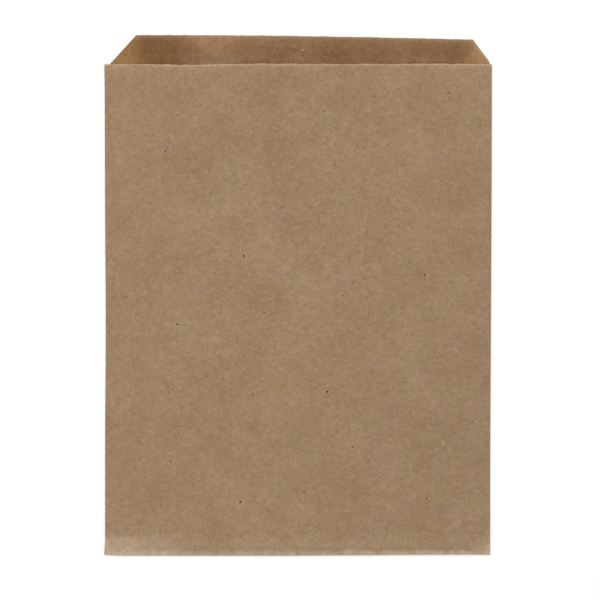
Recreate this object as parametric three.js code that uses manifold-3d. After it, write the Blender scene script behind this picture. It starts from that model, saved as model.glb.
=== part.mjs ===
// A flat kraft paper bag, made as the real one is: one sheet is cut, wrapped into a flat tube with a
// glued lap down the back, and closed at the foot by a flap of the front panel, folded under and glued.
// The mouth is cut by a toothed knife, and the back panel stands past the front one as a lip.
// The bag lies on its back: x runs across it, y from its foot to its mouth, z up. Millimetres.

import * as THREE from "three";
import { mergeVertices } from "three/addons/utils/BufferGeometryUtils.js";
import Module from "manifold-3d";

// The bag
const BAG_WIDTH = 215.9; // over both side folds
const PANEL_LENGTH = 274; // front panel, from the bottom fold to the mouth's cut
const PAPER = 0.1; // thickness of the sheet
const SIDE_FOLD_RADIUS = 0.4; // of the middle of the sheet

// How far the front panel stands off the back one
const FRONT_RISE = 4.8; // over the side folds, in the middle of the bag
const SIDE_REACH = 28; // distance from a side fold in which most of that rise is made
const FOOT_REACH = 70; // the same from the bottom fold
const FOOT_BULGE = 1.2; // the part of the rise that the bottom fold springs up by itself
const BULGE_REACH = 3; // distance from the bottom fold in which it does

// The lip of the back panel
const LIP_LEFT = 16.1; // past the front panel's edge, at the lip's left corner
const LIP_RIGHT = 13.9; // and at its right corner
const LIP_INSET_LEFT = 3.3; // from the side fold to the foot of the slanting cut
const LIP_INSET_RIGHT = 1.2;
const SLANT_LEFT = 14.7; // how far the slanting cut runs across the bag
const SLANT_RIGHT = 10;

// The toothed knife
const TOOTH_PITCH = 1.84;
const TOOTH_DEPTH = 0.7;
const TOOTH_CLEAR = 0.12; // a tip or root this close to the end of a stretch is left out

// The back: lap seam, bottom flap and glue
const SEAM_LAP = 14; // width in which the two edges of the sheet overlap
const FLAP_LENGTH = 16; // from the bottom fold to the flap's cut
const FLAP_INSET = 1.4; // from a side fold to the foot of the flap's slanting side
const FLAP_SLANT = 9; // how far that side runs across the bag
const GLUE = 0.04; // thickness of a glue line
const GLUE_MARGIN = 2; // from a glue line to the edge of the paper over it
const SETTLE = 12; // length in which a ply comes down off the ply under it

// Fineness of the mesh
const FOLD_STEPS = 6; // facets around a fold
const FRONT_COLUMNS = 16;
const BACK_COLUMNS = 4; // on each side of the seam
const FLAP_ROWS = 9; // from the bottom fold to the end of the flap
const SETTLE_ROWS = 2;
const BODY_ROWS = 8; // from there to the mouth
const ROW_GROWTH = 1.35; // each row is this much longer than the one below it
const EDGE_BAND = 6; // the last row, which ends in the mouth's cut

const KRAFT = { color: 0x9d8165, roughness: 0.85, metalness: 0 };

const { smoothstep, lerp } = THREE.MathUtils;

// Places that follow from the driving dimensions
const ply = PAPER + GLUE; // one glued layer
const bite = PAPER / 4; // how far a glue line soaks into the paper
const halfWidth = BAG_WIDTH / 2;
const halfLap = SEAM_LAP / 2;
const foldX = halfWidth - PAPER / 2 - SIDE_FOLD_RADIUS; // axis of a side fold
const footRadius = SIDE_FOLD_RADIUS + ply / 2; // the bottom fold goes around one ply more
const footY = footRadius + PAPER / 2; // axis of the bottom fold
const flapEnd = FLAP_LENGTH + TOOTH_DEPTH / 2;
const slantFootLeft = LIP_INSET_LEFT - halfWidth;
const slantFootRight = halfWidth - LIP_INSET_RIGHT;
const lipLeft = slantFootLeft + SLANT_LEFT;
const lipRight = slantFootRight - SLANT_RIGHT;
const flapHalf = halfWidth - FLAP_INSET; // half the flap's width at the bottom fold

// Cut lines

// Height of the toothed line over the straight one: tips and roots alternate every half pitch.
function tooth(x) {
  const phase = Math.abs(x / TOOTH_PITCH) % 1;
  return TOOTH_DEPTH * (2 * Math.abs(phase - 0.5) - 0.5);
}

const mouthCut = (x) => PANEL_LENGTH + tooth(x);
const flapCut = (x) => FLAP_LENGTH + tooth(x);

// The lip's crest droops slowly to its right corner.
function crest(x) {
  const across = (x - lipLeft) / (lipRight - lipLeft);
  return PANEL_LENGTH + lerp(LIP_LEFT, LIP_RIGHT, across ** 2) + tooth(x);
}

function lipCut(x) {
  if (x <= slantFootLeft || x >= slantFootRight) return mouthCut(x);
  const upLeft = Math.min((x - slantFootLeft) / SLANT_LEFT, 1);
  const upRight = Math.min((slantFootRight - x) / SLANT_RIGHT, 1);
  if (upLeft < 1) return lerp(mouthCut(slantFootLeft), crest(lipLeft), upLeft);
  if (upRight < 1) return lerp(mouthCut(slantFootRight), crest(lipRight), upRight);
  return crest(x);
}

const onSlant = (x) => (x > slantFootLeft && x < lipLeft) || (x > lipRight && x < slantFootRight);

// The x of each tip and root strictly between two places, on the way from the first to the second.
function teethBetween(start, end) {
  const half = TOOTH_PITCH / 2;
  const lowest = Math.min(start, end) + TOOTH_CLEAR;
  const highest = Math.max(start, end) - TOOTH_CLEAR;
  const list = [];
  for (let n = Math.ceil(lowest / half); n * half < highest; n++) list.push(n * half);
  return start < end ? list : list.reverse();
}

// The folded form

const rise = (distance, reach) => 1 - Math.exp(-((distance / reach) ** 2));

function frontRise(x, y) {
  const up = y - footY;
  const bulge = FOOT_BULGE * rise(up, BULGE_REACH);
  const body = (FRONT_RISE - FOOT_BULGE) * rise(up, FOOT_REACH);
  return rise(foldX - Math.abs(x), SIDE_REACH) * (bulge + body);
}

// The tube's foot lies on the flap, and the lap's inner edge on its outer one.
const flapLift = (y) => ply * (1 - smoothstep(y, flapEnd, flapEnd + SETTLE));
const lapLift = (x) => ply * (1 - smoothstep(x, halfLap, halfLap + SETTLE));

// The flap: v is how far the sheet runs past the axis of the bottom fold.
function underFoot(x, v, height) {
  const angle = v / footRadius;
  if (angle >= Math.PI) return new THREE.Vector3(x, footY + v - Math.PI * footRadius, PAPER / 2 - height);
  const radius = footRadius + height;
  const axis = PAPER / 2 + footRadius;
  return new THREE.Vector3(x, footY - radius * Math.sin(angle), axis + radius * Math.cos(angle));
}

// A point of the bag, from a spot of its girth, a place y along it and a height over the middle of the
// sheet, towards the outside of the bag.
function folded({ panel, x, turn }, y, height) {
  if (panel === "front" && y < footY) return underFoot(x, footY - y, height);
  const floor = PAPER / 2 + flapLift(y);
  if (panel === "front") {
    return new THREE.Vector3(x, y, floor + 2 * SIDE_FOLD_RADIUS + frontRise(x, y) + height);
  }
  if (panel === "sideFold") {
    const radius = SIDE_FOLD_RADIUS + height;
    const out = Math.sign(x) * radius * Math.sin(turn);
    return new THREE.Vector3(x + out, y, floor + SIDE_FOLD_RADIUS - radius * Math.cos(turn));
  }
  return new THREE.Vector3(x, y, floor + (panel === "innerBack" ? lapLift(x) : 0) - height);
}

// The flat sheet

// Stops from one value to another, without the first one, each step grown from the one before it.
function stops(from, to, count, growth = 1) {
  const steps = Array.from({ length: count }, (_, n) => growth ** n);
  const total = steps.reduce((sum, step) => sum + step);
  let passed = 0;
  return steps.map((step) => {
    passed += step;
    return lerp(from, to, passed / total);
  });
}

const foldTurns = stops(0, Math.PI, FOLD_STEPS);

// Spots around the girth, from the lap's outer edge around the front panel to its inner edge. The turn
// counts from the back panel through a side fold to the front one.
function girth() {
  const spots = [];
  const add = (panel, ...places) => places.forEach((x) => spots.push({ panel, x }));
  const addFold = (x, turn) => spots.push({ panel: "sideFold", x, turn });
  // Columns crowd towards the side folds, where the panel bends most.
  const across = stops(0, Math.PI, FRONT_COLUMNS).map((angle) => -flapHalf * Math.cos(angle));
  add("outerBack", halfLap, -halfLap, ...stops(-halfLap, lipLeft, BACK_COLUMNS), slantFootLeft, -foldX);
  foldTurns.forEach((turn) => addFold(-foldX, turn));
  add("front", -flapHalf, ...across, foldX);
  foldTurns.forEach((turn) => addFold(foldX, Math.PI - turn));
  add("innerBack", slantFootRight, lipRight, ...stops(lipRight, halfLap + SETTLE, BACK_COLUMNS));
  add("innerBack", halfLap + SETTLE / 2, halfLap, -halfLap);
  return spots;
}

const spots = girth();
const rows = [
  footY,
  ...stops(footY, flapEnd, FLAP_ROWS, ROW_GROWTH),
  ...stops(flapEnd, flapEnd + SETTLE, SETTLE_ROWS),
  ...stops(flapEnd + SETTLE, PANEL_LENGTH - EDGE_BAND, BODY_ROWS, ROW_GROWTH),
];
const sheet = { outside: [], inside: [], faces: [] };

// A point of the sheet, on both its faces.
function addPoint(spot, y) {
  sheet.outside.push(folded(spot, y, PAPER / 2));
  sheet.inside.push(folded(spot, y, -PAPER / 2));
  return sheet.outside.length - 1;
}

// Cells are seen from outside the bag, with their corners named anticlockwise.
function addCell(a, b, c, d) {
  sheet.faces.push([a, b, c], [a, c, d]);
}

// A cell that ends in a cut, over the two ends of a row: each tooth is a triangle on the roots beside it,
// and the roots fan out from the nearer end of the row.
function addCutCell(left, right, edge) {
  edge.forEach(({ point, tip }, n) => {
    if (tip) sheet.faces.push([edge[n - 1].point, edge[n + 1].point, point]);
  });
  const roots = edge.filter(({ tip }) => !tip).map(({ point }) => point);
  const middle = Math.floor(roots.length / 2);
  for (let n = 1; n < roots.length; n++) {
    sheet.faces.push([n > middle ? right : left, roots[n], roots[n - 1]]);
  }
  sheet.faces.push([left, right, roots[middle]]);
}

// The points of a cut between two spots, which have points of their own already.
function cutEdge(start, end, cut, plain) {
  const between = plain ? [] : teethBetween(start.spot.x, end.spot.x);
  const teeth = between.map((x) => {
    const point = addPoint({ panel: end.spot.panel, x }, cut(x));
    return { point, tip: tooth(x) > 0 };
  });
  return [{ point: start.point }, ...teeth, { point: end.point }];
}

function addTube() {
  const columns = spots.map((spot) => rows.map((y) => addPoint(spot, y)));
  const isBack = (spot) => spot.panel.endsWith("Back");
  const cutOf = (spot) => (isBack(spot) ? lipCut : mouthCut);
  const ends = spots.map((spot) => ({ spot, point: addPoint(spot, cutOf(spot)(spot.x)) }));
  for (let n = 1; n < spots.length; n++) {
    const [left, right] = [columns[n - 1], columns[n]];
    for (let row = 1; row < rows.length; row++) {
      addCell(left[row - 1], right[row - 1], right[row], left[row]);
    }
    const spot = spots[n];
    const slanting = isBack(spot) && onSlant((spots[n - 1].x + spot.x) / 2);
    const edge = cutEdge(ends[n - 1], ends[n], cutOf(spot), slanting || spot.panel === "sideFold");
    addCutCell(left.at(-1), right.at(-1), edge);
  }
  return columns.map((column) => column[0]);
}

// The flap goes on from the foot of the front panel, narrows behind the fold and ends in a toothed cut.
function addFlap(foot) {
  const flapSpots = spots.filter((spot) => spot.panel === "front" && Math.abs(spot.x) <= flapHalf);
  const cut = (x) => 2 * footY - Math.PI * footRadius - flapCut(x);
  const columns = flapSpots.map((spot) => {
    const bend = foldTurns.map((turn) => addPoint(spot, footY - turn * footRadius));
    return [foot[spots.indexOf(spot)], ...bend];
  });
  const ends = flapSpots.map(({ panel, x }) => {
    const spot = { panel, x: x * (1 - FLAP_SLANT / flapHalf) };
    return { spot, point: addPoint(spot, cut(spot.x)) };
  });
  for (let n = 1; n < columns.length; n++) {
    const [left, right] = [columns[n - 1], columns[n]];
    for (let row = 1; row < left.length; row++) {
      addCell(left[row], right[row], right[row - 1], left[row - 1]);
    }
    addCutCell(right.at(-1), left.at(-1), cutEdge(ends[n - 1], ends[n], cut, false).reverse());
  }
}

// The sheet as a closed solid: its outside, its inside and the cut edge between them.
function sheetGeometry() {
  const count = sheet.outside.length;
  const index = [];
  const open = new Map();
  for (const [a, b, c] of sheet.faces) {
    index.push(a, b, c, a + count, c + count, b + count);
    for (const [from, to] of [[a, b], [b, c], [c, a]]) {
      if (!open.delete(`${to} ${from}`)) open.set(`${from} ${to}`, [from, to]);
    }
  }
  for (const [from, to] of open.values()) {
    index.push(from, from + count, to + count, from, to + count, to);
  }
  const geometry = new THREE.BufferGeometry().setFromPoints([...sheet.outside, ...sheet.inside]);
  return geometry.setIndex(index);
}

// A glue line: a bar of some width along the bag, between two rows, on the ply whose top is at top(y).
function glueLine(width, ends, top) {
  const bar = new THREE.BoxGeometry(width, ends.length - 1, GLUE + 2 * bite, 1, ends.length - 1, 1);
  const points = bar.attributes.position;
  for (let n = 0; n < points.count; n++) {
    const y = ends[Math.round(points.getY(n) + (ends.length - 1) / 2)];
    points.setY(n, y);
    points.setZ(n, points.getZ(n) + top(y) + GLUE / 2);
  }
  return bar;
}

const wasm = await Module();
wasm.setup();

function solid(geometry) {
  const bare = geometry.clone().deleteAttribute("normal").deleteAttribute("uv");
  const { attributes, index } = mergeVertices(bare);
  const vertProperties = new Float32Array(attributes.position.array);
  const triVerts = new Uint32Array(index.array);
  return new wasm.Manifold(new wasm.Mesh({ numProp: 3, vertProperties, triVerts }));
}

function bagGeometry() {
  addFlap(addTube());
  const flapGlueEnds = [footY + GLUE_MARGIN, FLAP_LENGTH - TOOTH_DEPTH / 2 - GLUE_MARGIN];
  const flapGlueWidth = 2 * (flapHalf - FLAP_SLANT - GLUE_MARGIN);
  const flapGlue = glueLine(flapGlueWidth, flapGlueEnds, () => PAPER);
  const seamGlue = glueLine(SEAM_LAP - 2 * GLUE_MARGIN, rows.slice(1), (y) => PAPER + flapLift(y));
  const glued = solid(sheetGeometry()).add(solid(seamGlue)).add(solid(flapGlue)).getMesh();
  const geometry = new THREE.BufferGeometry();
  geometry.setAttribute("position", new THREE.BufferAttribute(glued.vertProperties, 3));
  geometry.setIndex(new THREE.BufferAttribute(glued.triVerts, 1));
  geometry.computeVertexNormals();
  geometry.computeBoundingBox();
  return geometry;
}

const bag = new THREE.Mesh(bagGeometry(), new THREE.MeshStandardMaterial(KRAFT));
bag.name = "paper_bag";
// The origin is under the middle of the bag.
bag.position.y = -(bag.geometry.boundingBox.min.y + bag.geometry.boundingBox.max.y) / 2;

const group = new THREE.Group();
group.add(bag);

export default group;
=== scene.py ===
# %% [markdown]
# A flat paper bag, dressed in Blender
#
# The real bag is one sheet of brown kraft paper. A machine wraps it into a flat tube, laps and glues it
# down the back, cuts the mouth with a toothed knife, and folds the foot under to close it. This lesson
# models the same sheet step by step, around a imported solid that fixes its size and place. The solid loads
# first, and its box is kept for the sizes that follow.

# %% Load the imported solid
from math import exp, pi, radians

import bmesh
import bpy
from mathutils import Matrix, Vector, noise as noises


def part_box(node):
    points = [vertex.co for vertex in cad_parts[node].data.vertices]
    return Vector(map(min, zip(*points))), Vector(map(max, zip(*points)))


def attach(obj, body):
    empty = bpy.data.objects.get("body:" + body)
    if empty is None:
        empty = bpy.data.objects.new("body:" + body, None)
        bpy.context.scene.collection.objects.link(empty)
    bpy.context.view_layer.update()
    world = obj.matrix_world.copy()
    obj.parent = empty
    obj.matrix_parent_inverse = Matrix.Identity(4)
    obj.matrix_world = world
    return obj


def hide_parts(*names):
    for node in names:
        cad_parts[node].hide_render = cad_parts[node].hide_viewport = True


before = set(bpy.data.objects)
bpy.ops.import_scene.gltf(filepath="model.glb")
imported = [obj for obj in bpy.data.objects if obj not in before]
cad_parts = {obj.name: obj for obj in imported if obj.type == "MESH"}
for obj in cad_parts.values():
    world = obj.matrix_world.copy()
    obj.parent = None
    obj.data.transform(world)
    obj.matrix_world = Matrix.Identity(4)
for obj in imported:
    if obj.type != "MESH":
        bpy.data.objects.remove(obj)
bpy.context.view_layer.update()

mm = 0.001
low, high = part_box("paper_bag")
print("the solid spans", [round(v / mm, 2) for v in high - low], "mm")

# %% [markdown]
# The camera
#
# The bag lies on its back and is looked at from straight above, so nothing of its height shows as a side.
# A long lens from far away keeps the four edges parallel, as a copy stand does. The lens follows from the
# camera's height and from how much of the table fits in the frame.

# %% Set up the camera
camera_height = 3000 * mm
frame_width = 334.8 * mm
camera_x, camera_y = 1.06 * mm, -2.65 * mm

camera_data = bpy.data.cameras.new("copy_stand_camera")
camera_data.lens = camera_data.sensor_width * camera_height / frame_width
camera = bpy.data.objects.new("copy_stand_camera", camera_data)
camera.location = (camera_x, camera_y, camera_height)
bpy.context.scene.collection.objects.link(camera)
bpy.context.scene.camera = camera
print("lens", round(camera_data.lens, 1), "mm")

# %% [markdown]
# Wiring nodes
#
# Every finish in this lesson is a tree of nodes. By hand they are added from a menu and joined by
# dragging. In code, one helper adds a node, fills in its values and joins what feeds it. The others build
# on it: one does a sum, two turn one range of values into another, and the last tells the rays that only
# look at a surface from those that carry its light to the bag.

# %% Add and join nodes
def put(tree, kind, sockets, **settings):
    """Add a node, set its properties, and fill its sockets with plain values or other nodes' outputs."""
    node = tree.nodes.new("ShaderNode" + kind)
    for name, value in settings.items():
        setattr(node, name, value)
    for name, value in sockets.items():
        if isinstance(value, bpy.types.NodeSocket):
            tree.links.new(value, node.inputs[name])
        else:
            node.inputs[name].default_value = value
    return node.outputs


def calc(tree, operation, *values):
    """One Math node on up to three values."""
    return put(tree, "Math", dict(enumerate(values)), operation=operation)[0]


def graded(tree, value, start, end, first, last, how="SMOOTHSTEP"):
    """first up to start, last beyond end, and smooth in between."""
    return put(tree, "MapRange", {"Value": value, "From Min": start, "From Max": end,
                                  "To Min": first, "To Max": last}, interpolation_type=how)[0]


def linear(tree, value, start, end, first, last):
    """The same, but straight in between."""
    return graded(tree, value, start, end, first, last, "LINEAR")


def only_looks(tree):
    """1 for camera, mirror and glass rays, and 0 for the rays that light other things."""
    rays = put(tree, "LightPath", {})
    seen = calc(tree, "MAXIMUM", rays["Is Camera Ray"], rays["Is Glossy Ray"])
    return calc(tree, "MAXIMUM", seen, rays["Is Transmission Ray"])


print("node helpers: put, calc, graded, linear, only_looks")

# %% [markdown]
# The table and the light
#
# A pale table and a bright room on all sides give the even light of a catalogue picture. One large soft
# lamp, up and to the left, adds just enough direction to show the folds. Lamp and room together light a
# level sheet to its own colour. The table turns pure white only for rays that look at it, so it sends no
# extra light onto the paper and still takes the bag's shadow. Seen from below it is clear, so that the
# back of the bag can be looked at.

# %% Lay the table
table_size = 6
table_gap = 0.02 * mm
table_colour = (0.88, 0.88, 0.88, 1)
table_roughness = 0.9
white = (1, 1, 1, 1)
white_lift = 0.16

bpy.ops.object.select_all(action="DESELECT")
bpy.ops.mesh.primitive_plane_add(size=table_size, location=(0, 0, -table_gap))
table = bpy.context.object
table.name = "pale_table"

table_paint = bpy.data.materials.new("pale_table")
table_paint.use_nodes = True
paint = table_paint.node_tree
shader = paint.nodes["Principled BSDF"]
shader.inputs["Base Color"].default_value = table_colour
shader.inputs["Roughness"].default_value = table_roughness
shader.inputs["Specular IOR Level"].default_value = 0
shader.inputs["Emission Color"].default_value = white
lift = calc(paint, "MULTIPLY", only_looks(paint), white_lift)
paint.links.new(lift, shader.inputs["Emission Strength"])

from_below = put(paint, "NewGeometry", {})["Backfacing"]
clear = put(paint, "BsdfTransparent", {})["BSDF"]
by_side = put(paint, "MixShader", {"Fac": from_below, 1: shader.outputs["BSDF"], 2: clear})["Shader"]
paint.links.new(by_side, paint.nodes["Material Output"].inputs["Surface"])
table.data.materials.append(table_paint)
print("table at", round(table.location.z / mm, 2), "mm")

# %% Light the room
room_light = 0.78
lamp_place = (-1.2, 2.4, 2.6)
lamp_size = 2.4
lamp_power = 47

room = bpy.data.worlds.new("bright_room")
room.use_nodes = True
bpy.context.scene.world = room
walls = room.node_tree
level = linear(walls, only_looks(walls), 0, 1, room_light, 1)
walls.links.new(level, walls.nodes["Background"].inputs["Strength"])
walls.nodes["Background"].inputs["Color"].default_value = white

lamp_data = bpy.data.lights.new("soft_lamp", "AREA")
lamp_data.shape = "DISK"
lamp_data.size = lamp_size
lamp_data.energy = lamp_power
lamp = bpy.data.objects.new("soft_lamp", lamp_data)
lamp.location = lamp_place
lamp.rotation_euler = (-lamp.location).to_track_quat("-Z", "Y").to_euler()
bpy.context.scene.collection.objects.link(lamp)
bpy.context.scene.view_settings.view_transform = "Standard"
print("lamp", lamp_power, "W, room", room_light)

# %% [markdown]
# Tracing the girth
#
# Cut across, the tube is one long line of paper: along the back from the seam to the left fold, half a
# turn, across the front, half a turn, and back to the seam, where it climbs onto its own beginning. A
# curve could hold that line, but the toothed cut later needs a point at every tip and every root, so the
# line is drawn point by point: one vertex is extruded by half a tooth at a time, and each fold is a spin
# of half a turn.

# %% Measure the flat tube
paper = 0.1 * mm
glue = 0.04 * mm
ply = paper + glue
side_radius = 0.4 * mm
tooth_pitch = 1.84 * mm
half_tooth = tooth_pitch / 2
seam_half = 7 * mm

fold_x = high.x - paper / 2 - side_radius
last_tip = int(fold_x / tooth_pitch) * tooth_pitch
seam_root = int(seam_half / half_tooth) * half_tooth
climb_from, climb_to = 10.5 * tooth_pitch, 4 * tooth_pitch
foot_radius = side_radius + ply / 2
foot_y = low.y + foot_radius + paper / 2
back_z = paper / 2 + ply
lap_z = back_z + ply
front_z = back_z + 2 * side_radius
print("folds at", round(fold_x / mm, 2), "mm, last tips at", round(last_tip / mm, 2), "mm")

# %% Draw its outline
side_steps = 6


def run_to(x, z, steps=1):
    """Extrude the selected end point to x and z in equal steps."""
    mesh = bmesh.from_edit_mesh(bpy.context.edit_object.data)
    end = next(v for v in mesh.verts if v.select).co
    move = ((x - end.x) / steps, 0, (z - end.z) / steps)
    for _ in range(steps):
        bpy.ops.mesh.extrude_region_move(TRANSFORM_OT_translate={"value": move})


def half_teeth(first, last):
    """How many half teeth lie between two places across the bag."""
    return round(abs(last - first) / half_tooth)


def fold_over(x):
    """Spin the selected end point half a turn about a side fold."""
    middle = (x, foot_y, back_z + side_radius)
    bpy.ops.mesh.spin(steps=side_steps, angle=-pi, center=middle, axis=(0, 1, 0))


bpy.ops.object.select_all(action="DESELECT")
bpy.ops.mesh.primitive_plane_add(size=2 * mm, location=(0, 0, 0))
bag = bpy.context.object
bag.name = "kraft_bag"
bpy.ops.object.mode_set(mode="EDIT")
bpy.ops.mesh.select_mode(type="VERT")
bpy.ops.mesh.select_all(action="SELECT")
bpy.ops.mesh.merge(type="CENTER")
bpy.ops.transform.translate(value=(seam_half, foot_y, back_z))

run_to(seam_root, back_z)
run_to(-last_tip, back_z, half_teeth(seam_root, -last_tip))
run_to(-fold_x, back_z)
fold_over(-fold_x)
run_to(-last_tip, front_z)
run_to(last_tip, front_z, half_teeth(-last_tip, last_tip))
run_to(fold_x, front_z)
fold_over(fold_x)
run_to(last_tip, back_z)
run_to(climb_from, back_z, half_teeth(last_tip, climb_from))
run_to(climb_to, lap_z, half_teeth(climb_from, climb_to))
run_to(-seam_root, lap_z, half_teeth(climb_to, -seam_root))
run_to(-seam_half, lap_z)

mesh = bmesh.from_edit_mesh(bag.data)
girth = sum(e.calc_length() for e in mesh.edges)
print("girth", round(girth / mm, 1), "mm in", len(mesh.edges), "steps")

# %% [markdown]
# Pulling out the tube
#
# The line becomes the tube when it is extruded from the foot to the mouth. The rows are close together at
# the foot, where the paper has to bend, and at the mouth, where the knife has frayed a narrow rim. In
# between they are about six millimetres apart, enough for the slow swell of the front.

# %% Extrude the tube from foot to mouth
panel_length = 274 * mm
mouth_y = low.y + panel_length
foot_rows = [v * mm for v in (1.1, 1.8, 2.8, 4.2, 6, 8.5, 12, 16, 20, 24, 28.5)]
mouth_rows = [panel_length - v * mm for v in (7, 3.4, 1, 0)]
body_count = 42
body_step = (mouth_rows[0] - foot_rows[-1]) / body_count
body_rows = [foot_rows[-1] + body_step * (i + 1) for i in range(body_count)]
tube_rows = foot_rows + body_rows + mouth_rows[1:]


def pull_out(start, rows):
    """Extrude the selected edges along the bag, from start to each row in turn."""
    for row in rows:
        bpy.ops.mesh.extrude_region_move(TRANSFORM_OT_translate={"value": (0, row - start, 0)})
        start = row


bpy.ops.mesh.select_mode(type="EDGE")
bpy.ops.mesh.select_all(action="SELECT")
pull_out(foot_y, [low.y + row for row in tube_rows])
print("tube of", len(tube_rows), "rows,", len(bmesh.from_edit_mesh(bag.data).faces), "faces")

# %% [markdown]
# The foot
#
# At the foot the front panel is a little longer than the back. Its end is turned under and glued flat on
# the back, which closes the bag. Spinning the front's lowest edge half a turn makes the fold, and the
# flap is extruded from there. The flap's corners are mitred so that they never stick out at the sides:
# two bisects cut them off.

# %% Turn the foot under
tiny = 0.02 * mm
foot_steps = 8
flap_length = 16 * mm
flap_rows = [v * mm for v in (0.9, 2.4, 4.6, 7, 9.4, 11.8, 13.8, 15)] + [flap_length]


def choose(kind, test):
    """Select every edge or face whose points all pass the test."""
    bpy.ops.mesh.select_mode(type=kind)
    bpy.ops.mesh.select_all(action="DESELECT")
    mesh = bmesh.from_edit_mesh(bpy.context.edit_object.data)
    found = 0
    for part in mesh.edges if kind == "EDGE" else mesh.faces:
        if all(test(v.co) for v in part.verts):
            part.select_set(True)
            found += 1
    bmesh.update_edit_mesh(bpy.context.edit_object.data)
    return found


found = choose("EDGE", lambda p: abs(p.y - foot_y) < tiny and p.z > front_z - tiny
               and abs(p.x) < last_tip + tiny)
fold_middle = (0, foot_y, front_z - foot_radius)
bpy.ops.mesh.spin(steps=foot_steps, angle=-pi, center=fold_middle, axis=(1, 0, 0))
pull_out(foot_y, [low.y + row for row in flap_rows])
print("flap from", found, "edges")

# %% Mitre the flap
flap_mitre = 9 * mm
mitre_start = 0.4 * mm
same_place = 0.001 * mm


def cut_corner(test, start, end, outward):
    """Bisect the chosen faces along a line seen from above and drop what lies outside it."""
    found = choose("FACE", test)
    along = Vector((end[0] - start[0], end[1] - start[1], 0))
    normal = Vector((along.y, -along.x, 0)) * (1 if along.y * outward > 0 else -1)
    bpy.ops.mesh.bisect(plane_co=(*start, 0), plane_no=normal, clear_outer=True, threshold=same_place)
    return found


def on_flap(p):
    return p.z < back_z - ply / 2 and p.y > foot_y - tiny and p.y < low.y + flap_length + tiny


for hand in (-1, 1):
    start = (hand * last_tip, foot_y + mitre_start)
    end = (hand * (last_tip - flap_mitre), low.y + flap_length)
    print("mitre over", cut_corner(on_flap, start, end, hand), "faces")

# %% [markdown]
# The corners of the foot
#
# Where a side fold meets the bottom fold, each has come round on its own and a small gap is left between
# them. On the real bag the press pinches that corner to a point. The edges round the gap are extruded and
# the new points are merged into one, which is then set where the two folds would meet.

# %% Pinch the corners shut
for hand in (-1, 1):
    found = choose("EDGE", lambda p: hand * p.x > last_tip - tiny and p.y < foot_y + tiny)
    bpy.ops.mesh.extrude_region_move()
    bpy.ops.mesh.select_mode(type="VERT")
    bpy.ops.mesh.merge(type="CENTER")
    mesh = bmesh.from_edit_mesh(bag.data)
    tip = next(v for v in mesh.verts if v.select)
    tip.co = (hand * (high.x - paper / 2), low.y + paper / 2, front_z - foot_radius)
    bmesh.update_edit_mesh(bag.data)
    print("corner of", len(tip.link_faces), "faces pinched from", found, "edges")

# %% [markdown]
# The lip
#
# At the mouth the back stands above the front, so that a thumb finds it and opens the bag. The back's end
# edge is extruded on to make this lip, and its corners are cut off at a slant with the same bisect as the
# flap. The lip is a little higher on the left than on the right, as if the knife had not met the tube
# quite square.

# %% Extrude the lip and slant its corners
lip_left, lip_right = 16.45 * mm, 13.9 * mm
inset_left, inset_right = 2.85 * mm, 0.14 * mm
slant_left, slant_right = 15 * mm, 10.3 * mm
slant_feet = (low.x + inset_left, high.x - inset_right)
lip_corners = (slant_feet[0] + slant_left, slant_feet[1] - slant_right)
lip_rows = [share * lip_left for share in (0.08, 0.25, 0.45, 0.65, 0.82, 0.93, 1)]
lip_reach = (slant_feet[0] - half_tooth, last_tip + tiny)


def on_back(p):
    return p.z < lap_z + tiny


found = choose("EDGE", lambda p: abs(p.y - mouth_y) < tiny and on_back(p)
               and lip_reach[0] < p.x < lip_reach[1])
pull_out(0, lip_rows)
for hand, foot, corner in zip((-1, 1), slant_feet, lip_corners):
    start, end = (foot, mouth_y), (corner, mouth_y + lip_left)
    cut_corner(lambda p: p.y > mouth_y - tiny and on_back(p), start, end, hand)
print("lip from", found, "edges")

# %% [markdown]
# The toothed cut
#
# Bag mouths are cut with a saw-toothed knife, about fourteen teeth to the inch. Every second point along
# a cut is a tip and the others are roots, so the teeth only need the end points moved up or down. They
# run out over the last two teeth before each end of a cut. Paper tears a little as it is cut, so the
# teeth come out shallower than the knife's and the cut strays by tenths of a millimetre, less along the
# lip than along the mouth. The same step lets the lip droop to the right.
#
# A cut also frays: short fibres stand up along it and catch the light as a pale rim, bead by bead along the
# teeth. That could be painted by hand, but here each point gets a mark for how pale its rim is painted,
# most at the tips, and the finishes read those marks later. The pale rim is partly the fray's own colour
# and partly painted highlight; along the lip's right slant it is painted highlight alone.

# %% Describe the cut
tooth_depth = 0.7 * mm
run_out = 2 * tooth_pitch
# For each cut, the share of the knife's depth that the teeth keep, and how strongly the cut strays
mouth_cut, lip_cut = (0.5, 0.2 * mm), (0.15, 0.1 * mm)
stray_lengths = (1.1 * mm, 1.5 * mm, 2.2 * mm, 3 * mm, 7 * mm)


def tooth(x):
    """How far the knife stands above its middle line at x, with a tip at every whole pitch."""
    return tooth_depth * (2 * abs(abs(x / tooth_pitch) % 1 - 0.5) - 0.5)


def torn(x):
    """How far a torn cut strays at x, as a sum of waves of several lengths."""
    return sum(noises.noise((x / length, 0.5, 0.5)) for length in stray_lengths)


def crest(x):
    """Height of the lip's middle cut line above the mouth."""
    across = min(max((x - lip_corners[0]) / (lip_corners[1] - lip_corners[0]), 0), 1)
    return lip_left + (lip_right - lip_left) * across ** 2


print("the knife's teeth from", round(tooth(half_tooth) / mm, 2), "to", round(tooth(0) / mm, 2), "mm")

# %% Cut the teeth and mark the fray and its painted highlight
# These marks make the rim paler: partly fray, partly painted highlight; the right slant's mark is painted
# highlight alone.
lip_fray_highlight, slant_rim_highlight, lip_rim_highlight_reach = 0.5, 0.6, 1.2 * mm
front_fray_highlight, front_rim_highlight_reach = 0.22, 1.5 * mm
tooth_fray_highlight, tip_fray_highlight = 0.64, 0.5
crest_share = 0.999

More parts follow.
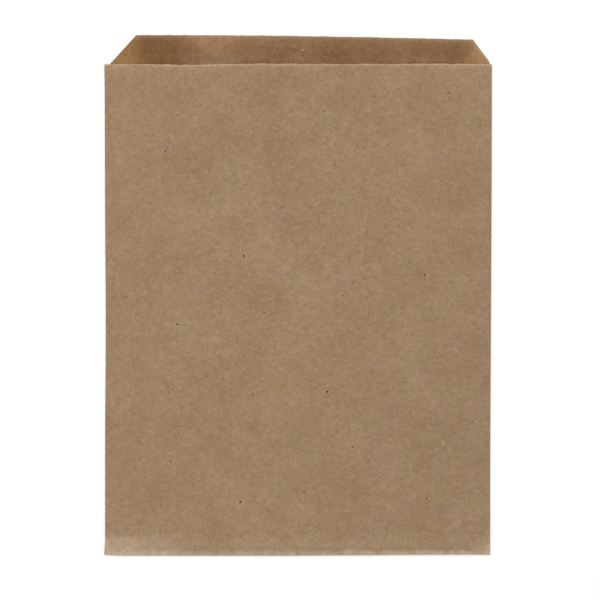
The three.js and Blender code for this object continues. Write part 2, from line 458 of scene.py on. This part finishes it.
mesh = bmesh.from_edit_mesh(bag.data)
rim = mesh.verts.layers.float.new("cut_rim")
teeth = 0
for v in mesh.verts:
    x, y, z = v.co
    over = y - mouth_y
    part = over / lip_left
    on_lip = over > -tiny and on_back(v.co) and slant_feet[0] < x < slant_feet[1]
    at_mouth = abs(over) < tiny and not on_lip
    at_flap_end = z < back_z - ply / 2 and abs(y - low.y - flap_length) < tiny
    if on_lip:
        below_cut = (1 - part) * crest(x)
        from_slant = slant_feet[1] + part * (lip_corners[1] - slant_feet[1]) - x
        by_cut = lip_fray_highlight * exp(-below_cut / lip_rim_highlight_reach)
        by_slant = slant_rim_highlight * exp(-from_slant / lip_rim_highlight_reach)
        v[rim] = max(by_cut, by_slant)
        v.co.y = mouth_y + part * crest(x)
    elif z > front_z - tiny:
        v[rim] = front_fray_highlight * exp(over / front_rim_highlight_reach)
    if part > crest_share or at_mouth or at_flap_end:
        ends = lip_corners if on_lip else (low.x, high.x)
        keen, straying = lip_cut if on_lip else mouth_cut
        from_end = min(x - ends[0], ends[1] - x)
        v.co.y += min(from_end / run_out, 1) * (keen * tooth(x) + straying * torn(x))
        v[rim] = tooth_fray_highlight + tip_fray_highlight * keen * tooth(x) / tooth_depth
        teeth += 1
bmesh.update_edit_mesh(bag.data)
print(teeth, "points on toothed cuts")

# %% [markdown]
# Paper that has settled
#
# A bag that has been stored is never quite flat or square: the front swells a little between its folds,
# the back sinks onto the table past the flap, the sides and the bottom fold stray by tenths of a
# millimetre, and the front's cut waves. A proportional drag would do one such move at a time. Because the
# swell has to follow the solid, every point is moved by the same smooth curves instead.

# %% Describe the swell
front_rise, foot_bulge = 4.8 * mm, 1.2 * mm
side_reach, foot_reach, bulge_reach = 28 * mm, 70 * mm, 3 * mm
settle_from, settle_over = low.y + flap_length + tooth_depth / 2, 12 * mm


def rise(distance, reach):
    """From 0 at an edge to 1 far away from it."""
    return 1 - exp(-(max(distance, 0) / reach) ** 2)


def swell(x, y):
    """How far the front panel stands above its flat place."""
    foot = y - foot_y
    return rise(fold_x - abs(x), side_reach) * (
        foot_bulge * rise(foot, bulge_reach) + (front_rise - foot_bulge) * rise(foot, foot_reach))


def smooth_step(start, over, value):
    """From 0 at start to 1 a stretch further on."""
    t = min(max((value - start) / over, 0), 1)
    return t * t * (3 - 2 * t)


def sink(y):
    """How far the paper has sunk towards the table where no flap lies under it."""
    return ply * smooth_step(settle_from, settle_over, y)


print("front swells by", round(swell(0, mouth_y) / mm, 2), "mm at the mouth")

# %% Describe how the edges stray
left_bow, left_hollow = 0.36 * mm, 0.36 * mm
hollow_y, hollow_reach = -15 * mm, 42 * mm
foot_out, foot_in, mouth_out = 0.58 * mm, 0.5 * mm, 0.12 * mm
corner_reach, mouth_reach = 9 * mm, 18 * mm
right_out, right_in = 0.1 * mm, 1 * mm
slope_rise, slope_x, slope_reach = 0.55 * mm, -15 * mm, 110 * mm
corner_rise, foot_fade = 0.5 * mm, 90 * mm
hill, hill_x, hill_reach = 0.25 * mm, 85 * mm, 28 * mm
dip, dip_x, dip_reach = 0.55 * mm, -59 * mm, 15 * mm
wave_reach = 30 * mm


def hump(value, middle, spread):
    """A smooth hill of height 1."""
    return exp(-((value - middle) / spread) ** 2)


def stray(x, y):
    """How far the sides stray sideways and the bottom fold strays lengthways from the square."""
    bow = left_bow * (1 - (max(y, 0) / high.y) ** 2) + left_hollow * hump(y, hollow_y, hollow_reach)
    flare = foot_out - foot_in * smooth_step(low.y, corner_reach, y)
    flare += mouth_out * smooth_step(mouth_y - mouth_reach, mouth_reach, y)
    taper = right_out - right_in * smooth_step(mouth_y, low.y - mouth_y, y)
    sideways = max(-x / high.x, 0) * (bow - flare) + max(x / high.x, 0) * taper
    lengthways = slope_rise * smooth_step(slope_x, slope_reach, x)
    lengthways += corner_rise * (1 - smooth_step(low.x, corner_reach, x))
    return sideways, lengthways * (1 - smooth_step(low.y, foot_fade, y))


def wave(x, y):
    """How far the front's cut, and the paper just below it, waves lengthways."""
    height = hill * hump(x, hill_x, hill_reach) - dip * hump(x, dip_x, dip_reach)
    return height * smooth_step(mouth_y - wave_reach, wave_reach, y)


for corner_x in (low.x, high.x):
    print("a foot corner strays by", [round(v / mm, 2) for v in stray(corner_x, low.y)], "mm")

# %% Let the paper settle
mesh = bmesh.from_edit_mesh(bag.data)
for v in mesh.verts:
    x, y, z = v.co
    if z > front_z - tiny and y > foot_y - tiny:
        v.co.z += swell(x, y)
        v.co.y += wave(x, y)
    v.co.z -= sink(y)
    sideways, lengthways = stray(x, y)
    v.co.x += sideways
    v.co.y += lengthways
bmesh.update_edit_mesh(bag.data)
bpy.ops.mesh.select_all(action="SELECT")
bpy.ops.mesh.remove_doubles(threshold=same_place)
bpy.ops.mesh.normals_make_consistent(inside=False)
bpy.ops.object.mode_set(mode="OBJECT")
top = max(v.co.z for v in bag.data.vertices)
print("sheet of", len(bag.data.polygons), "faces, highest at", round(top / mm, 2), "mm")

# %% [markdown]
# Giving the sheet its thickness
#
# So far the sheet is a single skin. Solidify gives it the tenth of a millimetre that kraft paper has,
# half to each side, so the skin stays the middle of the paper. It can also hand out the finishes: the
# skin keeps the first one, the new inner skin takes the second and the narrow cut edges take the third.

# %% Thicken the sheet
smooth_below = radians(40)


def finish_for(name):
    """Give the bag one more material, and return its node tree and its shader."""
    material = bpy.data.materials.new(name)
    material.use_nodes = True
    bag.data.materials.append(material)
    return material.node_tree, material.node_tree.nodes["Principled BSDF"]


outside, outside_shader = finish_for("kraft_outside")
inside, inside_shader = finish_for("kraft_inside")
cut_edge, cut_edge_shader = finish_for("kraft_cut_edge")

thick = bag.modifiers.new("paper thickness", "SOLIDIFY")
thick.thickness = paper
thick.offset = 0
thick.material_offset = 1
thick.material_offset_rim = 2
bpy.ops.object.select_all(action="DESELECT")
bag.select_set(True)
bpy.context.view_layer.objects.active = bag
bpy.ops.object.modifier_apply(modifier=thick.name)
bpy.ops.object.shade_smooth_by_angle(angle=smooth_below)
print("bag of", sum(len(p.vertices) - 2 for p in bag.data.polygons), "triangles")

# %% [markdown]
# The paper's own pattern
#
# Kraft paper is a felt of brown fibres. Held flat it shows slow clouds where the pulp ran thicker, flocs
# a few millimetres wide, a fine grain, small pale and dark flecks, and single curled fibres. All three
# finishes share this pattern, so it is a node group: one noise for each kind of mark, drawn out a little
# across the bag, with the strength of each left open. It gives out a tone, a slow drift of hue and a
# height.

# %% Start the paper pattern
strengths = ("Cloud Size", "Cloud", "Floc", "Grain", "Fleck", "Fibre")
mark_stretch = (0.95, 1.1, 1)


def new_group(name, inputs, outputs):
    """An empty node group with its sockets, and its input and output nodes."""
    group = bpy.data.node_groups.new(name, "ShaderNodeTree")
    for socket, kind in inputs.items():
        group.interface.new_socket(socket, in_out="INPUT", socket_type="NodeSocket" + kind)
    for socket, kind in outputs.items():
        group.interface.new_socket(socket, in_out="OUTPUT", socket_type="NodeSocket" + kind)
    return group, group.nodes.new("NodeGroupInput").outputs, group.nodes.new("NodeGroupOutput").inputs


felt, given, gives = new_group("kraft_felt", {"Vector": "Vector", **dict.fromkeys(strengths, "Float")},
                               {"Tone": "Float", "Drift": "Color", "Height": "Float"})
stretched = put(felt, "VectorMath", {0: given["Vector"], 1: mark_stretch}, operation="MULTIPLY")[0]


def noise(scale, seed, detail=2, roughness=0.7):
    """A noise with marks of about one metre over scale, as a value and as a colour."""
    return put(felt, "TexNoise", {"Vector": stretched, "Scale": scale, "W": seed, "Detail": detail,
                                  "Roughness": roughness}, noise_dimensions="4D")


print("kraft_felt takes", ", ".join(strengths))

# %% Make the marks
floc_scale, grain_scale, fleck_scale = 310, 1500, 800
pale_range, dark_range, pale_weight = (0.62, 0.74), (0.41, 0.29), 0.5
fibre_scale, fibre_range = 250, (0.022, 0.004)
scatter_scale, scatter_range = 330, (0.5, 0.6)


def fibres(seed):
    """Short curled fibres: thin lines where a noise crosses its middle, kept in scattered patches."""
    crossing = calc(felt, "SUBTRACT", noise(fibre_scale, seed, detail=1)[0], 0.5)
    lines = graded(felt, calc(felt, "ABSOLUTE", crossing), *fibre_range, 0, 1)
    patches = graded(felt, noise(scatter_scale, seed + 1, detail=0)[0], *scatter_range, 0, 1)
    return calc(felt, "MULTIPLY", lines, patches)


cloud = noise(given["Cloud Size"], seed=0, detail=4, roughness=0.8)[0]
floc = noise(floc_scale, seed=1)[0]
grain = noise(grain_scale, seed=2, roughness=0.9)[0]
speckle = noise(fleck_scale, seed=3, detail=1)[0]
pale_fleck = graded(felt, speckle, *pale_range, 0, 1)
dark_fleck = calc(felt, "MULTIPLY", graded(felt, speckle, *dark_range, 0, 1), -1)
fleck = calc(felt, "MULTIPLY_ADD", pale_fleck, pale_weight, dark_fleck)
fibre = calc(felt, "SUBTRACT", fibres(seed=4), fibres(seed=6))
print("marks made with", len(felt.nodes), "nodes")

# %% Sum up the pattern
middle_tone = 0.5
hue_scale, hue_spread, hue_base = 85, (0.13, 0.13, 0.38), (0.935, 0.935, 0.81)
fibre_height = 0.3

tone = middle_tone
for mark, strength in ((cloud, "Cloud"), (floc, "Floc"), (grain, "Grain")):
    tone = calc(felt, "MULTIPLY_ADD", calc(felt, "SUBTRACT", mark, 0.5), given[strength], tone)
for mark, strength in ((fleck, "Fleck"), (fibre, "Fibre")):
    tone = calc(felt, "MULTIPLY_ADD", mark, given[strength], tone)
felt.links.new(tone, gives["Tone"])

hues = noise(hue_scale, seed=8, detail=4)["Color"]
drift = put(felt, "VectorMath", {0: hues, 1: hue_spread, 2: hue_base}, operation="MULTIPLY_ADD")[0]
felt.links.new(drift, gives["Drift"])
felt.links.new(calc(felt, "ADD", grain, calc(felt, "MULTIPLY", fibre, fibre_height)), gives["Height"])
print("kraft_felt:", len(felt.nodes), "nodes")

# %% [markdown]
# Specks of bark
#
# Unbleached pulp keeps a few dark bits of bark. Some are scattered all over: a texture splits the sheet
# into cells, and one cell in a few gets a dot. The larger ones on the front are placed one by one, each
# as a small ball of darkness around its own point on the front's outer face, so that the back doesn't
# show them.

# %% Build the specks
bark_spots = {(-30.25, 21.95): 0.72, (-32.15, -115.4): 0.76, (-67.25, -16.2): 0.73,
              (16.25, -53.8): 0.71, (70.7, 11.5): 0.64, (-18.95, -9.6): 0.59,
              (-74.15, 80.55): 0.42, (-73.55, 80.15): 0.46, (-71.15, -92.7): 0.54,
              (83.6, 112.6): 0.6, (30.1, -84.55): 0.55, (25.3, 0.05): 0.44, (71.4, -113.2): 0.55}
spot_core = 0.4
cell_scale, bare_share = 90, 0.72
smallest_dot, largest_dot = 0.012, 0.032
dot_core, dot_strength = 0.5, 0.45


def front_height(x, y):
    """Height of the front's outer face above the table."""
    return front_z + paper / 2 + swell(x, y) - sink(y)


bark, given, gives = new_group("bark_specks", {"Vector": "Vector"}, {"Specks": "Float"})
cells = put(bark, "TexVoronoi", {"Vector": given["Vector"], "Scale": cell_scale, "Randomness": 1})
pick = put(bark, "SeparateColor", {"Color": cells["Color"]})
chosen = calc(bark, "GREATER_THAN", pick["Red"], bare_share)
dot_size = linear(bark, pick["Green"], 0, 1, smallest_dot, largest_dot)
from_middle = calc(bark, "DIVIDE", cells["Distance"], dot_size)
specks = calc(bark, "MULTIPLY", linear(bark, from_middle, 1, dot_core, 0, dot_strength), chosen)
for (x, y), radius in bark_spots.items():
    point = (x * mm, y * mm, front_height(x * mm, y * mm))
    away = put(bark, "VectorMath", {0: given["Vector"], 1: point}, operation="DISTANCE")["Value"]
    ball = linear(bark, away, radius * mm, spot_core * radius * mm, 0, 1)
    specks = calc(bark, "MAXIMUM", specks, ball)
bark.links.new(specks, gives["Specks"])
print(len(bark_spots), "placed specks")

# %% [markdown]
# From pattern to finish
#
# The three finishes are made alike: the pattern at the bag's own coordinates picks a colour from a ramp,
# other colours are laid over it by place, and the result goes to the shader with a roughness and a
# relief. By hand these moves would be repeated in every material. As helpers they are written once.

# %% Make helpers for colour and relief
matt, pressed = 0.92, 0.76
relief_depth = 0.06 * mm
paper_gloss = 0.15


def paper_base(tree, marks):
    """The bag's own coordinates, and the shared pattern there with its strengths set."""
    place = put(tree, "TexCoord", {})["Object"]
    return place, put(tree, "Group", {"Vector": place, **marks}, node_tree=felt)


def ramp(tree, value, stops):
    """A colour ramp with a colour at each stop."""
    colour = put(tree, "ValToRGB", {"Fac": value})["Color"]
    elements = colour.node.color_ramp.elements
    while len(elements) < len(stops):
        elements.new(0.5)
    for element, (position, shade) in zip(elements, sorted(stops.items())):
        element.position = position
        element.color = (*shade, 1)
    return colour


def blend(tree, amount, under, over, how="MIX"):
    """Lay one colour over another."""
    over = over if isinstance(over, bpy.types.NodeSocket) else (*over, 1)
    return put(tree, "Mix", {0: amount, 6: under, 7: over}, data_type="RGBA", blend_type=how)[2]


def surface(tree, shader, colour, pattern, bump):
    """Join colour, roughness and relief to the shader."""
    tree.links.new(colour, shader.inputs["Base Color"])
    tree.links.new(linear(tree, pattern["Tone"], 0, 1, matt, pressed), shader.inputs["Roughness"])
    relief = put(tree, "Bump", {"Height": pattern["Height"], "Strength": bump, "Distance": relief_depth})
    tree.links.new(relief["Normal"], shader.inputs["Normal"])
    shader.inputs["Specular IOR Level"].default_value = paper_gloss


print("roughness from", pressed, "to", matt)

# %% Make helpers for place
def soft_spot(tree, place, middle, reach, core, strength):
    """A mask round a point on the sheet: full within a share of its reach, and 0 past the reach."""
    offset = put(tree, "VectorMath", {0: place, 1: (*middle, 0)}, operation="SUBTRACT")[0]
    per_reach = (1 / reach[0], 1 / reach[1], 0)
    shares = put(tree, "VectorMath", {0: offset, 1: per_reach}, operation="MULTIPLY")[0]
    distance = put(tree, "VectorMath", {0: shares}, operation="LENGTH")["Value"]
    return graded(tree, distance, core, 1, strength, 0)


def specks_at(tree, place):
    """The mask of the bark specks."""
    return put(tree, "Group", {"Vector": place}, node_tree=bark)["Specks"]


def frayed_and_lit_rim(tree):
    """The marks of fray and painted highlight that were left on the points."""
    return put(tree, "Attribute", {}, attribute_name="cut_rim")["Fac"]


print("place helpers: soft_spot, specks_at, frayed_and_lit_rim")

# %% [markdown]
# The outside of the paper
#
# The outside is a dry light brown. Its colour runs on a ramp from dark to pale fibres, moved along by the
# shared tone, and a slow drift turns it a little pinker here and more olive there.

# %% Colour the outside
outside_marks = {"Cloud Size": 28, "Cloud": 0.9, "Floc": 0.75,
                 "Grain": 1.45, "Fleck": 0.33, "Fibre": 0.33}
outside_shades = {0: (0.255, 0.157, 0.082), 0.5: (0.335, 0.219, 0.1265), 1: (0.428, 0.296, 0.184)}

place, pattern = paper_base(outside, outside_marks)
tone = pattern["Tone"]
colour = ramp(outside, tone, outside_shades)
colour = blend(outside, 1, colour, pattern["Drift"], "MULTIPLY")
print("outside coloured from", outside_shades[0], "to", outside_shades[1])

# %% [markdown]
# Wear and painted highlight at the foot
#
# The bottom fold is pale in a narrow band, broken up by small blotches: partly rubbed by handling, partly a
# painted highlight where the fold turns to the light. Just above it the paper is painted lighter against
# the shade where the front slopes away from the lamp. The two corners are paler still, partly creased and
# partly painted highlight. That could be brushed on by hand. Here each mark is a mask worked out from the
# place on the bag, and the masks are put together.

# %% Rub the bottom fold and paint its highlight
# The pale band on the bottom fold is partly rubbing and partly painted highlight where the fold turns to
# the light.
blotch_scale, blotch_shift = 240, 3 * mm
blotch_range, blotch_gain = (0.3, 0.7), (1.3, 0.7)
band_left, band_right, band_core = 4.5 * mm, 3.3 * mm, 0.2
fold_rub_highlight_left, fold_rub_highlight_right = 0.64, 0.8
change = (20 * mm, 95 * mm)

sides = put(outside, "SeparateXYZ", {"Vector": place})
across, along = sides["X"], sides["Y"]
blotches = put(outside, "TexNoise", {"Vector": place, "Scale": blotch_scale, "Detail": 2})[0]
fold_line = graded(outside, across, slope_x, slope_x + slope_reach, low.y, low.y + slope_rise)
above_fold = calc(outside, "SUBTRACT", along, fold_line)
shift = calc(outside, "SUBTRACT", blotches, 0.5)
ragged_height = calc(outside, "MULTIPLY_ADD", shift, blotch_shift, above_fold)
band = graded(outside, across, *change, band_left, band_right)
wear_and_highlight = graded(outside, calc(outside, "DIVIDE", ragged_height, band), band_core, 1, 1, 0)
wear_and_highlight = calc(outside, "MULTIPLY", wear_and_highlight, graded(outside, across, *change, fold_rub_highlight_left, fold_rub_highlight_right))
wear_and_highlight = calc(outside, "MULTIPLY", wear_and_highlight, linear(outside, blotches, *blotch_range, *blotch_gain))
print("fold rubbed over", round(band_left / mm, 1), "to", round(band_right / mm, 1), "mm")

# %% Paint light above the fold and at the rubbed, creased corners
tone_shift = -4 * mm
lit_band_rows, lit_band_strength = (low.y + 4 * mm, low.y + 12 * mm), 0.18
lit_band_right, right_share = (20 * mm, 90 * mm), 0.3
lit_band_left, left_share = (-75 * mm, -45 * mm), 0.5
left_rub_highlight_rows, left_rub_highlight = (low.y + 7 * mm, low.y + 11 * mm), 0.42
fringe_rows, left_fringe = (low.y, low.y + 9 * mm), 0.1
left_end = (low.x + 4 * mm, low.x + 46 * mm)
right_corner, right_rub_highlight_reach, right_rub_highlight = (high.x, low.y), (20 * mm, 14 * mm), 0.47
corner_core = 0.2
left_crease_highlight = ((low.x, low.y), (4 * mm, 15 * mm), 0.35)
right_crease_highlight = ((high.x - right_in + right_out, low.y), (3 * mm, 19 * mm), 0.3)

# Painted light: the band above the fold is lightened against the shade where the front slopes away from the
# lamp. The corners are paler from rubbing and creasing, and from a painted highlight.
ragged = calc(outside, "MULTIPLY_ADD", tone, tone_shift, along)
lit_band = graded(outside, ragged, *lit_band_rows, lit_band_strength, 0)
lit_band = calc(outside, "MULTIPLY", lit_band, graded(outside, across, *lit_band_right, 1, right_share))
lit_band = calc(outside, "MULTIPLY", lit_band, graded(outside, across, *lit_band_left, left_share, 1))
right_corner_rub_highlight = soft_spot(outside, place, right_corner, right_rub_highlight_reach, corner_core, right_rub_highlight)
wear_and_highlight = calc(outside, "MAXIMUM", wear_and_highlight, calc(outside, "MAXIMUM", lit_band, right_corner_rub_highlight))

left_corner_rub_highlight = calc(outside, "ADD", graded(outside, ragged, *left_rub_highlight_rows, left_rub_highlight, 0),
                   graded(outside, ragged, *fringe_rows, left_fringe, 0))
left_only = graded(outside, across, *left_end, 1, 0)
wear_and_highlight = calc(outside, "ADD", wear_and_highlight, calc(outside, "MULTIPLY", left_corner_rub_highlight, left_only))
for corner, reach, strength in (left_crease_highlight, right_crease_highlight):
    crease_highlight = soft_spot(outside, place, corner, reach, corner_core, strength)
    wear_and_highlight = calc(outside, "ADD", wear_and_highlight, crease_highlight)
print("wear built with", len(outside.nodes), "nodes so far")

# %% [markdown]
# Worn and lit fibres, painted shade, fray and bark
#
# Where the masks are strong the colour moves to a paler ramp of its own, for wear and painted highlight
# alike. A faint painted shade darkens the lower right of the bag. The frayed rim along the cut, with its
# painted highlight, is paler than the paper and breaks up with its tone. The bark specks go on last,
# because nothing covers them.

# %% Finish the outside
# The paler ramp is laid where the masks of wear and painted highlight are strong.
worn_and_lit_shades = {0: (0.43, 0.307, 0.203), 0.5: (0.53, 0.391, 0.268), 1: (0.64, 0.485, 0.345)}
# Painted shade: the colour darkens softly towards the lower right corner.
lower_right_shade, lower_right_shade_reach = (0.1, 0.075, 0.06), (150 * mm, 200 * mm)
lower_right_shade_core, lower_right_shade_strength = 0.1, 0.065
fray_highlight_gain = (0.3, 1.7)
outside_fray_highlight, outside_speck = (0.66, 0.48, 0.318), (0.02, 0.007, 0.001)
outside_bump = 0.5

colour = blend(outside, wear_and_highlight, colour, ramp(outside, tone, worn_and_lit_shades))
# Painted shade over the lower right of the bag.
lower_right_shading = soft_spot(outside, place, right_corner, lower_right_shade_reach, lower_right_shade_core, lower_right_shade_strength)
colour = blend(outside, lower_right_shading, colour, lower_right_shade)
# Pale rim along the cut: the fray's own colour and a painted highlight.
fray_and_highlight = calc(outside, "MULTIPLY", frayed_and_lit_rim(outside), linear(outside, tone, 0, 1, *fray_highlight_gain))
colour = blend(outside, fray_and_highlight, colour, outside_fray_highlight)
colour = blend(outside, specks_at(outside, place), colour, outside_speck)
surface(outside, outside_shader, colour, pattern, outside_bump)
print("kraft_outside:", len(outside.nodes), "nodes")

# %% [markdown]
# The inside of the paper
#
# The inside is taken to be the rougher side of the sheet, and from above only the lip shows it. Its darker
# and warmer colour is painted shade. It uses the same pattern with stronger clouds. Along the lip the
# colour changes: gold at both ends, which is painted light, then brown inside the left end, pale, plain and
# dim by turns, which is the paper's own uneven tone. Just above the front's cut it is painted lighter,
# against the shade that the front's edge casts there, and a few soft clouds are laid over it all.

# %% Paint the inside's shade and light along the lip
inside_marks = {"Cloud Size": 30, "Cloud": 1.1, "Floc": 0.5, "Grain": 0.9, "Fleck": 0.25, "Fibre": 0.25}
# The inside's darker, warmer ramp is painted shade.
shaded_inside_ramp = {0: (0.152, 0.071, 0.026), 0.5: (0.256, 0.136, 0.063), 1: (0.365, 0.223, 0.123)}
# Gold at both ends of the lip is painted light; the brown, pale, plain and dim stretches are the paper's
# uneven tone.
gold_light, brown, pale = (1.2, 1.2, 1.06), (0.76, 0.7, 0.6), (1.1, 1.12, 1.18)
plain, dim = (1, 1, 1.02), (0.87, 0.86, 0.84)
lip_light_and_tone = {-94: gold_light, -85: brown, -69: brown, -54: pale, -45: pale, -30: plain, -2: plain,
              12: dim, 25: dim, 60: plain, 82: dim, 90: dim, 97: gold_light}
# Painted light just above the front's cut, set against the shade of the front's edge.
mouth_light_rows, mouth_light_strength, mouth_light_colour = (mouth_y - 1 * mm, mouth_y + 7 * mm), 0.5, (1.62, 1.74, 1.88)
lip_clouds = {(-59, 141.5): (11, 5, 1.2), (-49.5, 132): (12, 5, 0.8), (16.5, 134): (20, 5, 0.88),
              (70, 131): (21, 4.5, 1.2), (-32, 142.5): (45, 8, 1.12), (-83, 142.5): (14, 5, 0.86)}

place, pattern = paper_base(inside, inside_marks)
sides = put(inside, "SeparateXYZ", {"Vector": place})
colour = ramp(inside, pattern["Tone"], shaded_inside_ramp)
share = linear(inside, sides["X"], low.x, high.x, 0, 1)
stops = {(x * mm - low.x) / (high.x - low.x): shade for x, shade in lip_light_and_tone.items()}
colour = blend(inside, 1, colour, ramp(inside, share, stops), "MULTIPLY")
mouth_light = graded(inside, sides["Y"], *mouth_light_rows, mouth_light_strength, 0)
colour = blend(inside, mouth_light, colour, mouth_light_colour, "MULTIPLY")
for (x, y), (width, height, shade) in lip_clouds.items():
    cloud = soft_spot(inside, place, (x * mm, y * mm), (width * mm, height * mm), 0, 1)
    colour = blend(inside, cloud, colour, (shade, shade, shade), "MULTIPLY")
print(len(lip_light_and_tone), "places with a shade,", len(lip_clouds), "clouds")

# %% [markdown]
# The last touches inside
#
# A painted highlight sits by the right slant, and one pale fibre lies near the middle of the lip. The
# frayed rim, with its painted highlight, and the specks follow as on the outside, in colours closer to the
# darker paper.

# %% Finish the inside
# Painted highlight by the right slant of the lip.
side_highlight_place, side_highlight_reach = (101.5 * mm, 136.3 * mm), (7 * mm, 6 * mm)
side_highlight_core, side_highlight_strength, side_highlight_colour = 0.1, 0.25, (0.5, 0.37, 0.25)
fibre_place, fibre_reach = (2.5 * mm, 136.9 * mm), (1 * mm, 0.45 * mm)
fibre_core, fibre_strength, fibre_colour = 0.3, 0.6, (0.62, 0.5, 0.38)
inside_fray_highlight, inside_speck = (0.5, 0.34, 0.2), (0.06, 0.035, 0.02)
inside_bump = 0.6

side_highlight = soft_spot(inside, place, side_highlight_place, side_highlight_reach, side_highlight_core, side_highlight_strength)
colour = blend(inside, side_highlight, colour, side_highlight_colour)
lone_fibre = soft_spot(inside, place, fibre_place, fibre_reach, fibre_core, fibre_strength)
colour = blend(inside, lone_fibre, colour, fibre_colour)
# Pale rim along the cut: the fray's own colour and a painted highlight.
colour = blend(inside, frayed_and_lit_rim(inside), colour, inside_fray_highlight)
colour = blend(inside, specks_at(inside, place), colour, inside_speck)
surface(inside, inside_shader, colour, pattern, inside_bump)
print("kraft_inside:", len(inside.nodes), "nodes")

# %% [markdown]
# The cut edge
#
# The thickness of the paper shows only as a hair line, but it is paler than the sheet's two faces: torn
# fibre ends with none of the pressed surface. It takes the same pattern with a paler ramp, weaker clouds
# and a stronger relief.

# %% Finish the cut edge
edge_marks = {"Cloud Size": 40, "Cloud": 0.3, "Floc": 0.6, "Grain": 1.4, "Fleck": 0.2, "Fibre": 0.3}
edge_shades = {0: (0.3, 0.2, 0.12), 0.5: (0.43, 0.3, 0.19), 1: (0.56, 0.42, 0.29)}
edge_bump = 0.8

_, pattern = paper_base(cut_edge, edge_marks)
colour = ramp(cut_edge, pattern["Tone"], edge_shades)
surface(cut_edge, cut_edge_shader, colour, pattern, edge_bump)
print("kraft_cut_edge:", len(cut_edge.nodes), "nodes")

# %% [markdown]
# Handing the bag over
#
# The modelled sheet takes the solid's place in the picture and moves with its only body, and the size of
# the dressed bag is printed.

# %% Hand the bag over
print("the dressed bag spans", [round(v / mm, 2) for v in bag.dimensions], "mm")
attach(bag, "root")
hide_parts("paper_bag")
